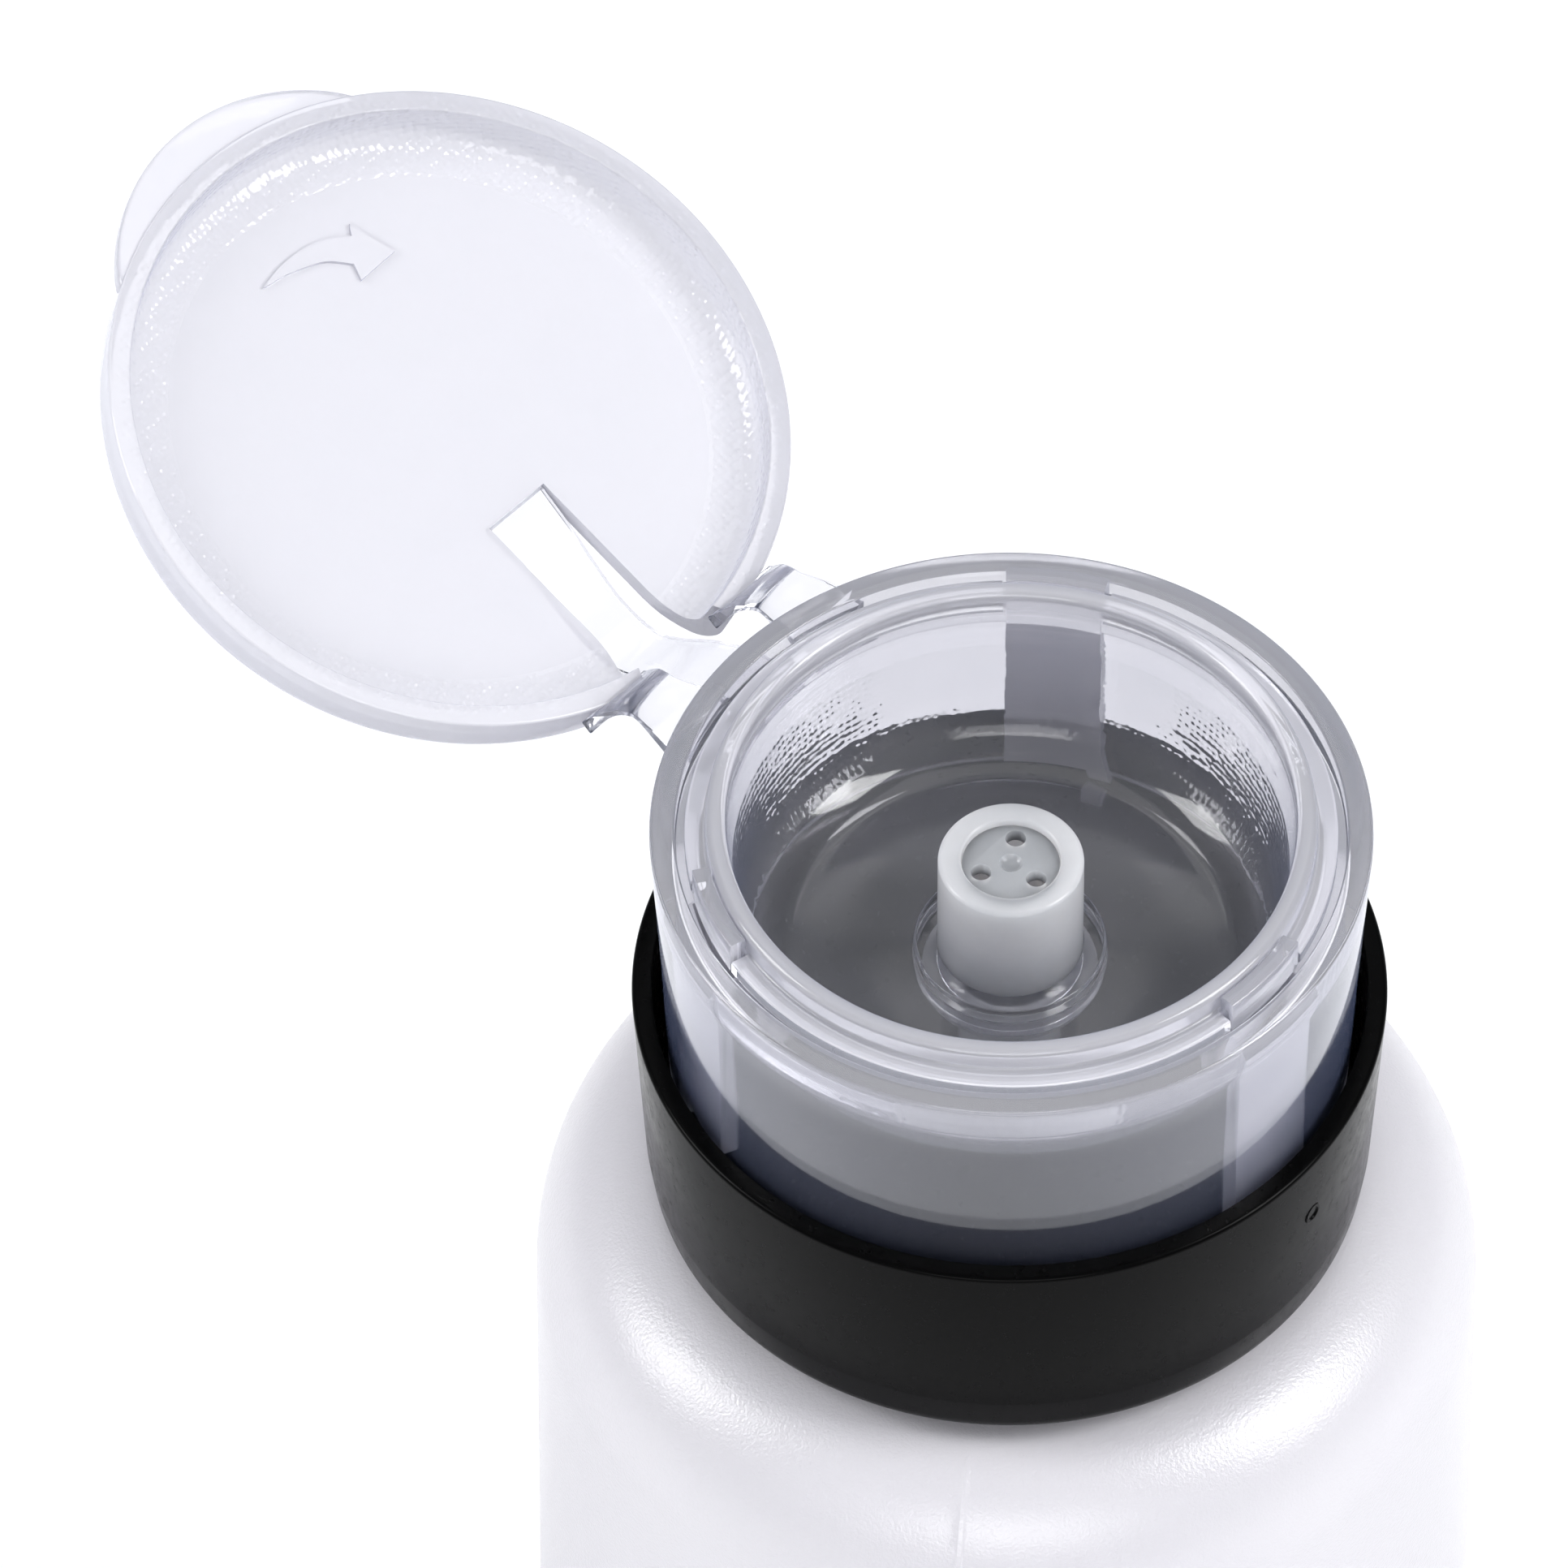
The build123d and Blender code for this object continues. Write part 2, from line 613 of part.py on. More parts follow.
# Snap tongue: the central band from the slot's end in the lid, sagging under the hinge line,
# to the shell. It stretches as the lid passes the middle of its swing, so the lid snaps.
plate_mid = lid_top_z - lid_plate / 2 - hinge_z
slot_reach = slot_end_y - hinge_y
swing = radians(open_angle)
tongue_y = hinge_y + slot_reach * cos(swing) + plate_mid * sin(swing) - 0.15
tongue_z = hinge_z - slot_reach * sin(swing) + plate_mid * cos(swing)
with BuildPart() as snap_tongue:
    with BuildSketch(Plane.YZ):
        with BuildLine():
            tongue_top = ThreePointArc(
                (tongue_y, tongue_z + tongue_thickness / 2),
                (32.2, rim_z - 8.5),
                (rim_r - 1.0, rim_z - 3.4),
            )
            Line(tongue_top @ 1, (rim_r - 1.0, rim_z - 3.4 - tongue_thickness))
            tongue_under = ThreePointArc(
                (rim_r - 1.0, rim_z - 3.4 - tongue_thickness),
                (32.2, rim_z - 8.5 - tongue_thickness),
                (tongue_y, tongue_z - tongue_thickness / 2),
            )
            Line(tongue_under @ 1, tongue_top @ 0)
        make_face()
    extrude(amount=tongue_width / 2, both=True)
    add(shell_trim, mode=Mode.SUBTRACT)
snap_tongue.part.label = "snap_tongue"
export_step(snap_tongue.part, "parts/snap_tongue.step")
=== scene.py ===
"""Looks of the push-down dispenser bottle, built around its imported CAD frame."""
import json
from math import cos, degrees, hypot, pi, radians, sin, tan

import bmesh
import bpy
from mathutils import Matrix, Vector


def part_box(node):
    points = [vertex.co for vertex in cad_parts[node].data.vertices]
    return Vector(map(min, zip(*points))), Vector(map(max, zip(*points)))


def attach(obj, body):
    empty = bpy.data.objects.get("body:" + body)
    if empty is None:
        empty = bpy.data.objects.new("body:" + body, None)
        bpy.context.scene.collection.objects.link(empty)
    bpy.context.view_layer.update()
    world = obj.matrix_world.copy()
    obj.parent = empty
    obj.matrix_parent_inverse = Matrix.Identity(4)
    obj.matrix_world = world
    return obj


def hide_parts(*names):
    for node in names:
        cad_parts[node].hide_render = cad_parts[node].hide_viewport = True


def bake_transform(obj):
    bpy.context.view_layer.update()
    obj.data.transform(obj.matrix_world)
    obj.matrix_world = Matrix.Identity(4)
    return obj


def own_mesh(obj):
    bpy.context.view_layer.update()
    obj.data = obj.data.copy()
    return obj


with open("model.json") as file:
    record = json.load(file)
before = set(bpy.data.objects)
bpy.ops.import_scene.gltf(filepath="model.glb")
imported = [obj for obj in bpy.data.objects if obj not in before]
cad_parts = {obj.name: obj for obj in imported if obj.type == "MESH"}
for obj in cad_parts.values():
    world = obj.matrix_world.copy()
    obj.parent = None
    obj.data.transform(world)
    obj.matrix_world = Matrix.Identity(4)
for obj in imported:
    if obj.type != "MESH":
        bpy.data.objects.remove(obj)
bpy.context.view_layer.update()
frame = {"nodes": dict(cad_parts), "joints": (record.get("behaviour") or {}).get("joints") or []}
MM = 0.001


# Bottle. Extrusion blow-moulded high-density polyethylene, left natural and frosted by the
# mould, so light soaks into the wall and the gloss breaks up into fine sparkle. The two mould
# halves leave a faint parting line from neck to base.
def linear(hex_colour):
    """An sRGB hex colour as the linear RGBA that shaders take."""
    channels = [int(hex_colour[i : i + 2], 16) / 255 for i in (1, 3, 5)]
    return [c / 12.92 if c <= 0.04045 else ((c + 0.055) / 1.055) ** 2.4 for c in channels] + [1.0]


def add_node(tree, kind, inputs=(), **settings):
    """A shader node with its settings, and its inputs set to values or linked to sockets."""
    made = tree.nodes.new(kind)
    for name, value in settings.items():
        setattr(made, name, value)
    for name, value in dict(inputs).items():
        if isinstance(value, bpy.types.NodeSocket):
            tree.links.new(value, made.inputs[name])
        else:
            made.inputs[name].default_value = value
    return made


def new_material(name):
    """An empty node material and its tree."""
    material = bpy.data.materials.new(name)
    material.use_nodes = True
    material.node_tree.nodes.clear()
    return material, material.node_tree


def rounded(corners):
    """A closed outline of (r, z, fillet) corners in mm as points, with the fillets drawn."""
    degrees_per_step = 12
    points = []
    for i, (r, z, fillet) in enumerate(corners):
        here = Vector((r, z))
        before = Vector(corners[i - 1][:2]) - here
        after = Vector(corners[(i + 1) % len(corners)][:2]) - here
        turn = before.angle(after)
        if fillet <= 0 or turn > pi - 0.02:
            points.append(here)
            continue
        setback = min(fillet / tan(turn / 2), 0.49 * before.length, 0.49 * after.length)
        radius = setback * tan(turn / 2)
        start, end = here + before.normalized() * setback, here + after.normalized() * setback
        inward = (before.normalized() + after.normalized()).normalized()
        centre = here + inward * (radius / sin(turn / 2))
        middle = (here - centre).normalized()
        side = (end - start).normalized()
        steps = max(3, int(degrees(pi - turn) / degrees_per_step))
        for k in range(steps + 1):
            arc = (pi - turn) * (k / steps - 0.5)
            points.append(centre + (middle * cos(arc) + side * sin(arc)) * radius)
    return points


def smooth(mesh, angle=32):
    """Smooth shading with edges sharper than angle kept sharp."""
    mesh.polygons.foreach_set("use_smooth", [True] * len(mesh.polygons))
    mesh.set_sharp_from_angle(angle=radians(angle))


def object_from(build, name):
    """A finished build as a mesh object in the scene."""
    bmesh.ops.recalc_face_normals(build, faces=build.faces)
    mesh = bpy.data.meshes.new(name)
    build.to_mesh(mesh)
    build.free()
    made = bpy.data.objects.new(name, mesh)
    bpy.context.collection.objects.link(made)
    return made


def lathe(name, corners, turns=None):
    """A solid turned from an outline of (r, z, fillet) corners, through all angles or a sector."""
    outline = rounded(corners)
    angles = turns or [2 * pi * k / 256 for k in range(256)]
    nearly_full_turn = 6.2
    whole = turns is None or abs(turns[-1] - turns[0]) > nearly_full_turn
    build = bmesh.new()
    rings = [
        [build.verts.new((p.x * cos(a) * MM, p.x * sin(a) * MM, p.y * MM)) for p in outline]
        for a in angles
    ]
    for i in range(len(rings) if whole else len(rings) - 1):
        one, two = rings[i], rings[(i + 1) % len(rings)]
        for k in range(len(outline)):
            m = (k + 1) % len(outline)
            build.faces.new((one[k], two[k], two[m], one[m]))
    if not whole:
        build.faces.new(list(reversed(rings[0])))
        build.faces.new(rings[-1])
    bmesh.ops.remove_doubles(build, verts=build.verts, dist=1e-7)
    made = object_from(build, name)
    smooth(made.data)
    return made


def finish_piece(piece, material, body, slot, *nodes):
    """Gives a piece its material, sets it on its body, and lets it stand for its CAD nodes."""
    piece.data.materials.clear()
    piece.data.materials.append(material)
    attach(piece, body)
    if nodes:
        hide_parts(*nodes)
    return piece


body_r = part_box("bottle")[1].x / MM
neck_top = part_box("bottle")[1].z / MM
heel_fillet = 3.6
shoulder_top = neck_top - 10.3
shoulder_reach, shoulder_drop = 8.0, 9.5
wall, neck_r, bore_r = 1.1, 15.15, 12.8
push_up, push_up_r, foot_ring_r = 1.8, 20, 24


def shoulder_arc(inset, sweep):
    """The shoulder's quarter ellipse, drawn inset from the outer face by a wall."""
    return [
        (
            body_r - shoulder_reach + (shoulder_reach - inset) * cos(radians(a)),
            shoulder_top - shoulder_drop + (shoulder_drop - inset) * sin(radians(a)),
            0,
        )
        for a in sweep
    ]


bottle_outline = [
    (0, push_up, 0),
    (push_up_r, push_up, 3),
    (foot_ring_r, 0, 1.2),
    (body_r, 0, heel_fillet),
    *shoulder_arc(0, range(0, 91, 6)),
    (neck_r, shoulder_top, 0.5),
    (neck_r, neck_top, 0.3),
    (bore_r, neck_top, 0.3),
    (bore_r, shoulder_top - wall, 0.5),
    *shoulder_arc(wall, range(90, -1, -6)),
    (body_r - wall, wall, heel_fillet - wall),
    (foot_ring_r + 0.2, wall, 1.2),
    (push_up_r + 0.2, push_up + wall, 3),
    (0, push_up + wall, 0),
]
parting_angles = [radians(216.25), radians(36.25)]
line_half, line_proud = 0.2, 0.09
beside_line = (-0.009, -0.005, 0.0, 0.005, 0.009)  # extra meridians there, in radians
meridians = sorted(
    {2 * pi * k / 240 for k in range(240)} | {p + d for p in parting_angles for d in beside_line}
)
bottle = lathe("bottle_shell", bottle_outline, meridians)
for vertex in bottle.data.vertices:
    x, y, z = vertex.co / MM
    outside = hypot(x, y) > 16.5 and z < shoulder_top + 0.5
    near_line = any(
        x * cos(p) + y * sin(p) > 0 and abs(y * cos(p) - x * sin(p)) < line_half
        for p in parting_angles
    )
    if outside and near_line:
        vertex.co.xy *= 1 + line_proud / hypot(x, y)


def swept(name, profile, places):
    """A closed bar: (a, b) points in mm carried through places, each an origin and u, v axes."""
    build = bmesh.new()
    rings = [[build.verts.new((o + u * a + v * b) * MM) for a, b in profile] for o, u, v in places]
    for one, two in zip(rings, rings[1:]):
        for k in range(len(profile)):
            m = (k + 1) % len(profile)
            build.faces.new((one[k], two[k], two[m], one[m]))
    build.faces.new(list(reversed(rings[0])))
    build.faces.new(rings[-1])
    made = object_from(build, name)
    smooth(made.data)
    return made


thread_pitch, thread_turns, thread_foot = 4.233, 1.25, neck_top - 6.6


def thread(name, root_r, crest_r, half_width, foot_z):
    """A trapezoid thread ridge of one and a quarter turns that fades out at both ends."""
    steps, fade_steps, crest_share, sunk = 180, 12, 0.53, 0.2
    up = Vector((0, 0, 1))
    places = []
    for k in range(steps + 1):
        angle = 2 * pi * thread_turns * k / steps
        out = Vector((cos(angle), sin(angle), 0))
        fade = min(1.0, k / fade_steps, (steps - k) / fade_steps)
        depth = (crest_r - root_r) * max(fade, 0.05)
        climb = foot_z + thread_pitch * thread_turns * k / steps
        places.append((out * root_r + up * climb, out * depth, up))
    crest_half = crest_share * half_width
    profile = [
        (-sunk, -half_width),
        (0, -half_width),
        (1, -crest_half),
        (1, crest_half),
        (0, half_width),
        (-sunk, half_width),
    ]
    return swept(name, profile, places)


def joined(target, *others):
    """Joins other meshes into the target and keeps its name."""
    build = bmesh.new()
    build.from_mesh(target.data)
    for other in others:
        build.from_mesh(other.data)
        bpy.data.objects.remove(other)
    build.to_mesh(target.data)
    build.free()
    smooth(target.data)
    return target


joined(bottle, thread("neck_thread", neck_r, 16.2, 0.85, thread_foot))

natural_polyethylene, tree = new_material("natural_polyethylene_blown_frosted")
place = add_node(tree, "ShaderNodeTexCoord")
frost_grain = 0.00022  # etched mould grain, drawn a little coarse so that it shows
frost = add_node(
    tree,
    "ShaderNodeTexNoise",
    {"Vector": place.outputs["Object"], "Scale": 1 / frost_grain, "Detail": 2.0, "Roughness": 0.6},
)
flow_width = 0.02  # slow change of wall thickness round the blown body
flow = add_node(
    tree,
    "ShaderNodeTexNoise",
    {"Vector": place.outputs["Object"], "Scale": 1 / flow_width, "Detail": 2.0, "Roughness": 0.5},
)
tone = add_node(tree, "ShaderNodeValToRGB", {"Fac": flow.outputs["Fac"]})
tone.color_ramp.elements[0].color = linear("#e9e5ee")
tone.color_ramp.elements[1].color = linear("#f1edf4")
grain_bump = add_node(
    tree, "ShaderNodeBump", {"Strength": 0.8, "Distance": 0.00005, "Height": frost.outputs["Fac"]}
)
surface = add_node(
    tree,
    "ShaderNodeBsdfPrincipled",
    {
        "Base Color": tone.outputs["Color"],
        "Roughness": 0.27,
        "IOR": 1.53,
        "Specular IOR Level": 0.85,
        "Transmission Weight": 0.15,
        "Subsurface Weight": 0.5,
        "Subsurface Radius": (1.0, 0.95, 1.0),
        "Subsurface Scale": 0.005,
        "Normal": grain_bump.outputs["Normal"],
    },
)
add_node(tree, "ShaderNodeOutputMaterial", {"Surface": surface.outputs["BSDF"]})
finish_piece(bottle, natural_polyethylene, "bottle", "natural_polyethylene", "bottle")


# Screw collar. Injection-moulded black polypropylene with a polished mould: deep black, gloss
# that softens at the rounded foot, and a gate mark on its side. It screws onto the neck.
collar_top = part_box("screw_collar")[1].z / MM
collar_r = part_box("screw_collar")[1].x / MM
collar_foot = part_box("screw_collar")[0].z / MM
channel_floor = collar_foot + 4.15
deck_top = collar_top - 3.75
sleeve_inner_r, channel_outer_r, channel_inner_r = 20.4, 22.25, 18.3
bore_wall_r, guide_r = 16.5, 8.5
deck = 1.5  # thickness of the deck and of the channel's floor
collar_outline = [
    (collar_r - 1.3, collar_top, 0.12),
    (collar_r, collar_top, 0.3),
    (22.85, collar_foot + 3.85, 2.5),
    (22.5, collar_foot + 1.3, 1.8),
    (21.4, collar_foot, 0.5),
    (sleeve_inner_r, collar_foot, 0.2),
    (sleeve_inner_r, channel_floor - deck, 0.4),
    (channel_inner_r, channel_floor - deck, 0.4),
    (channel_inner_r, collar_foot + 0.2, 0.3),
    (bore_wall_r, collar_foot + 0.2, 0.3),
    (bore_wall_r, deck_top - deck, 0.3),
    (guide_r, deck_top - deck, 0.15),
    (guide_r, deck_top, 0.3),
    (channel_inner_r, deck_top, 0.8),
    (channel_inner_r, channel_floor, 0.4),
    (channel_outer_r, channel_floor, 0.4),
]
collar = lathe("collar_sleeve", collar_outline)
gate_angle, gate_height, gate_sunk = radians(276.6), 11.65, 0.42
gate_r, gate_bore_r, gate_proud = 0.75, 0.42, 0.16
gate_outline = [
    (0, 0, 0),
    (gate_r, 0, 0),
    (gate_r - 0.03, gate_proud, 0.06),
    (gate_bore_r + 0.08, gate_proud, 0.05),
    (gate_bore_r, 0.05, 0),
    (0, 0.05, 0),
]
gate = lathe("gate_mark", gate_outline)
gate.data.transform(
    Matrix.Rotation(gate_angle, 4, "Z")
    @ Matrix.Translation(((collar_r - gate_sunk) * MM, 0, (collar_foot + gate_height) * MM))
    @ Matrix.Rotation(pi / 2, 4, "Y")
)
joined(collar, gate)
joined(collar, thread("collar_thread", bore_wall_r, 15.35, 0.75, thread_foot - thread_pitch / 2))

black_polypropylene, tree = new_material("black_polypropylene_moulded_gloss")
place = add_node(tree, "ShaderNodeTexCoord")
sink_width = 0.006  # faint waves where the wall shrank as it cooled
waves = add_node(
    tree,
    "ShaderNodeTexNoise",
    {"Vector": place.outputs["Object"], "Scale": 1 / sink_width, "Detail": 1.0},
)
dust_size = 0.0009  # specks and fine rubs on the gloss
specks = add_node(
    tree,
    "ShaderNodeTexNoise",
    {"Vector": place.outputs["Object"], "Scale": 1 / dust_size, "Detail": 3.0, "Roughness": 0.7},
)
gloss = add_node(
    tree,
    "ShaderNodeMapRange",
    {
        "Value": specks.outputs["Fac"],
        "From Min": 0.3,
        "From Max": 0.75,
        "To Min": 0.16,
        "To Max": 0.32,
    },
)
wave_bump = add_node(
    tree, "ShaderNodeBump", {"Strength": 0.15, "Distance": 0.00005, "Height": waves.outputs["Fac"]}
)
surface = add_node(
    tree,
    "ShaderNodeBsdfPrincipled",
    {
        "Base Color": linear("#030303"),
        "Roughness": gloss.outputs["Result"],
        "IOR": 1.49,
        "Specular IOR Level": 0.05,
        "Normal": wave_bump.outputs["Normal"],
    },
)
add_node(tree, "ShaderNodeOutputMaterial", {"Surface": surface.outputs["BSDF"]})
finish_piece(collar, black_polypropylene, "collar", "black_polypropylene", "screw_collar")


# Clear polypropylene of the whole head moulding, a random copolymer with a slight milky haze:
# bluish over the black collar, and creamy where white shows through. Some walls are stippled
# by the mould in rows of fine pips, which breaks the highlights there into sparkle.
def marked(piece, name, share):
    """Marks a piece's points for the material: share takes a point in mm and gives 0 to 1."""
    marks = piece.data.attributes.new(name, "FLOAT", "POINT")
    for vertex, mark in zip(piece.data.vertices, marks.data):
        mark.value = share(vertex.co / MM)


clear_polypropylene, tree = new_material("clear_polypropylene_moulded")
place = add_node(tree, "ShaderNodeTexCoord")
flow_length = 0.004  # faint swirls left where the melt ran
flow_lines = add_node(
    tree,
    "ShaderNodeTexNoise",
    {"Vector": place.outputs["Object"], "Scale": 1 / flow_length, "Detail": 2.0, "Roughness": 0.5},
)
flow_bump = add_node(
    tree,
    "ShaderNodeBump",
    {"Strength": 0.1, "Distance": 0.00005, "Height": flow_lines.outputs["Fac"]},
)
pip_spacing = 0.0005  # drawn a little coarser than real pips so that they show
pips = add_node(
    tree,
    "ShaderNodeTexVoronoi",
    {"Vector": place.outputs["Object"], "Scale": 1 / pip_spacing, "Randomness": 0.35},
    feature="SMOOTH_F1",
)
stipple = add_node(tree, "ShaderNodeAttribute", attribute_name="stipple")
# "thick" marks walls that light crosses the long way, so they pass less of it and look milky.
thick = add_node(tree, "ShaderNodeAttribute", attribute_name="thick")
passing = add_node(
    tree, "ShaderNodeMapRange", {"Value": thick.outputs["Fac"], "To Min": 0.98, "To Max": 0.25}
)
pip_height = add_node(
    tree,
    "ShaderNodeMath",
    {0: pips.outputs["Distance"], 1: stipple.outputs["Fac"]},
    operation="MULTIPLY",
)
pip_bump = add_node(
    tree,
    "ShaderNodeBump",
    {
        "Strength": 0.8,
        "Distance": 0.00014,
        "Height": pip_height.outputs["Value"],
        "Normal": flow_bump.outputs["Normal"],
    },
)
tone = add_node(tree, "ShaderNodeValToRGB", {"Fac": flow_lines.outputs["Fac"]})
tone.color_ramp.elements[0].color = linear("#f2f2f6")
tone.color_ramp.elements[1].color = linear("#f8f7fa")
haze = add_node(
    tree,
    "ShaderNodeMixRGB",
    {"Fac": thick.outputs["Fac"], "Color1": tone.outputs["Color"], "Color2": linear("#e6e5eb")},
)
clear = add_node(
    tree,
    "ShaderNodeBsdfPrincipled",
    {
        "Base Color": haze.outputs["Color"],
        "Roughness": 0.07,
        "IOR": 1.49,
        "Transmission Weight": passing.outputs["Result"],
        "Sheen Weight": 0.16,
        "Sheen Roughness": 0.6,
        "Sheen Tint": linear("#8496cc"),
        "Normal": pip_bump.outputs["Normal"],
    },
)
add_node(tree, "ShaderNodeOutputMaterial", {"Surface": clear.outputs["BSDF"]})


def boolean(target, kind, *tools):
    """Cuts the tools from the target, or adds them to it, and applies the result."""
    for tool in tools:
        change = target.modifiers.new("cut", "BOOLEAN")
        change.operation, change.object, change.solver = kind, tool, "EXACT"
        shown = target.evaluated_get(bpy.context.evaluated_depsgraph_get())
        mesh = bpy.data.meshes.new_from_object(shown)
        target.modifiers.clear()
        target.data = mesh
        bpy.data.objects.remove(tool)
    smooth(target.data)
    return target


def sector(name, inner_r, outer_r, low, high, middle, half, fillet=0.12):
    """A block between two radii and two heights, over an angle each side of a middle one."""
    corners = [
        (inner_r, low, fillet),
        (outer_r, low, fillet),
        (outer_r, high, fillet),
        (inner_r, high, fillet),
    ]
    return lathe(name, corners, [radians(middle + half * (k / 12 - 1)) for k in range(25)])


def clamped(share):
    """A share held between 0 and 1."""
    return max(0.0, min(1.0, share))


# Head shell. The clear skirt has a flat rim, a shelf inside that carries the dish, and three
# legs whose tabs rise beside the dish's lip. Its legs run down to small feet.
rim_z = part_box("head_shell")[1].z / MM - 1.2
rim_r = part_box("head_shell")[1].x / MM
skirt_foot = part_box("head_shell")[0].z / MM
skirt_inner_r, shelf_r = 20.45, 19.4
rim_inner_r = 20.9
bend_z = rim_z - 12.0  # where the skirt starts to draw in
shell_outline = [
    (rim_inner_r, rim_z, 0.15),
    (rim_r, rim_z, 0.22),
    (rim_r - 0.1, rim_z - 2.0, 0),
    (rim_r - 0.3, rim_z - 5.0, 0),
    (21.8, bend_z, 4),
    (21.42, skirt_foot + 0.45, 0),
    (21.4, skirt_foot, 0.15),
    (skirt_inner_r, skirt_foot, 0.1),
    (skirt_inner_r, skirt_foot + 0.3, 0),
    (20.75, bend_z, 4),
    (21.2, rim_z - 3.4, 0.5),
    (shelf_r, rim_z - 2.4, 0.4),
    (shelf_r - 0.05, rim_z - 1.15, 0.15),
    (rim_inner_r, rim_z - 1.15, 0.1),
]
tab_angles = (34, 154, 274)
leg_inner_r, leg_outer_r, leg_half, leg_foot = 19.15, 20.25, 9.3, rim_z - 18.9
shell = lathe("head_shell_skirt", shell_outline)
for number, angle in enumerate(tab_angles):
    leg = sector(
        f"leg_{number}", leg_inner_r, leg_outer_r, leg_foot, rim_z + 1.2, angle, leg_half
    )
    foot = sector(
        f"foot_{number}", leg_inner_r, leg_outer_r, skirt_foot, leg_foot + 0.2, angle - 7.4, 1.9
    )
    boolean(shell, "UNION", leg, foot)


def shell_thick(p):
    """Full at the legs and the cut foot edge, and fading down from the rim."""
    leg_reach_r, edge = 20.4, 0.2
    on_leg = hypot(p.x, p.y) < leg_reach_r and p.z < rim_z - 2.6
    if on_leg or p.z < skirt_foot + edge:
        return 1.0
    return 0.3 * clamped((p.z - rim_z + 4.5) / 4.0)


marked(shell, "thick", shell_thick)
finish_piece(shell, clear_polypropylene, "head", "clear_polypropylene", "head_shell")


# Dish. A clear cup dropped into the shell: raised lip, flange notched for the three tabs, a
# rounded floor and a socket that grips the post. Its inner wall is stippled.
lip_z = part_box("dish")[1].z / MM
socket_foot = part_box("dish")[0].z / MM
dish_floor = rim_z - 11.0
post_r = 4.56
lip_inner_r, lip_outer_r, flange_r = 17.8, 19.0, 20.3
floor_wall, socket_r, socket_rise = 1.2, post_r + 1.3, 0.2
dish_outline = [
    (lip_inner_r, lip_z, 0.45),
    (lip_outer_r, lip_z, 0.45),
    (lip_outer_r, rim_z - 0.1, 0.2),
    (flange_r, rim_z - 0.1, 0.2),
    (flange_r, rim_z - 1.1, 0.1),
    (18.9, rim_z - 1.1, 0.3),
    (18.1, rim_z - 3.4, 1.0),
    (17.5, dish_floor + 1.6, 4.6),
    (14.1, dish_floor - floor_wall, 1.5),
    (socket_r, dish_floor - floor_wall, 0.3),
    (socket_r, socket_foot, 0.2),
    (post_r + 0.02, socket_foot, 0.1),
    (post_r + 0.02, dish_floor + socket_rise, 0.05),
    (socket_r, dish_floor + socket_rise, 0.15),
    (post_r + 1.45, dish_floor, 0.1),
    (16.35, dish_floor, 3.9),
    (17.45, rim_z - 1.7, 0),
    (17.47, rim_z - 1.5, 0),
]
dish = lathe("dish_cup", dish_outline)
for number, angle in enumerate(tab_angles):
    notch = sector(
        f"notch_{number}", lip_outer_r + 0.04, 21, rim_z - 2, rim_z + 0.5, angle, 9.9, 0
    )
    boolean(dish, "DIFFERENCE", notch)


def dish_stipple(p):
    """The inner wall is stippled, and deepest on two panels: at the hinge and to its right."""
    wall_foot_r, wall_lean = 16.8, 0.117
    radius = hypot(p.x, p.y)
    on_face = 15.9 < radius < wall_foot_r + wall_lean * (p.z - dish_floor)
    if not (on_face and dish_floor + 1.2 < p.z < rim_z - 1.6):
        return 0.0
    panels = (Vector((0, 1)), Vector((0.976, -0.216)))
    near = max(p.xy.dot(panel) / radius for panel in panels)
    return 0.25 + 0.75 * clamped((near - 0.93) / 0.03)


marked(dish, "stipple", dish_stipple)
marked(dish, "thick", lambda p: 0.5 if p.z > rim_z - 0.3 else 0.05)
finish_piece(dish, clear_polypropylene, "head", "clear_polypropylene", "dish")


# Nozzle post and its disc. Natural polypropylene, thicker and so milkier than the dish. The
# disc is pressed into the post's top, a little below its edge.
natural_polypropylene, tree = new_material("natural_polypropylene_moulded")
place = add_node(tree, "ShaderNodeTexCoord")
cloud_size = 0.0015  # uneven milkiness of a thick natural moulding
cloud = add_node(
    tree,
    "ShaderNodeTexNoise",
    {"Vector": place.outputs["Object"], "Scale": 1 / cloud_size, "Detail": 3.0, "Roughness": 0.6},
)
tone = add_node(tree, "ShaderNodeValToRGB", {"Fac": cloud.outputs["Fac"]})
tone.color_ramp.elements[0].color = linear("#d2d2d6")
tone.color_ramp.elements[1].color = linear("#dadade")
cloud_bump = add_node(
    tree, "ShaderNodeBump", {"Strength": 0.2, "Distance": 0.00004, "Height": cloud.outputs["Fac"]}
)
surface = add_node(
    tree,
    "ShaderNodeBsdfPrincipled",
    {
        "Base Color": tone.outputs["Color"],
        "Roughness": 0.22,
        "IOR": 1.49,
        "Transmission Weight": 0.12,
        "Subsurface Weight": 1.0,
        "Subsurface Radius": (1.0, 0.95, 0.9),
        "Subsurface Scale": 0.012,
        "Normal": cloud_bump.outputs["Normal"],
    },
)
add_node(tree, "ShaderNodeOutputMaterial", {"Surface": surface.outputs["BSDF"]})
post_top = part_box("nozzle_post")[1].z / MM
post_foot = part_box("nozzle_post")[0].z / MM
disc_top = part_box("nozzle_disc")[1].z / MM
disc_r, bore_step_r, stem_socket_r, channel_r = 3.05, 2.8, 3.0, 2.0
base_r, base_height = 5.4, 0.75
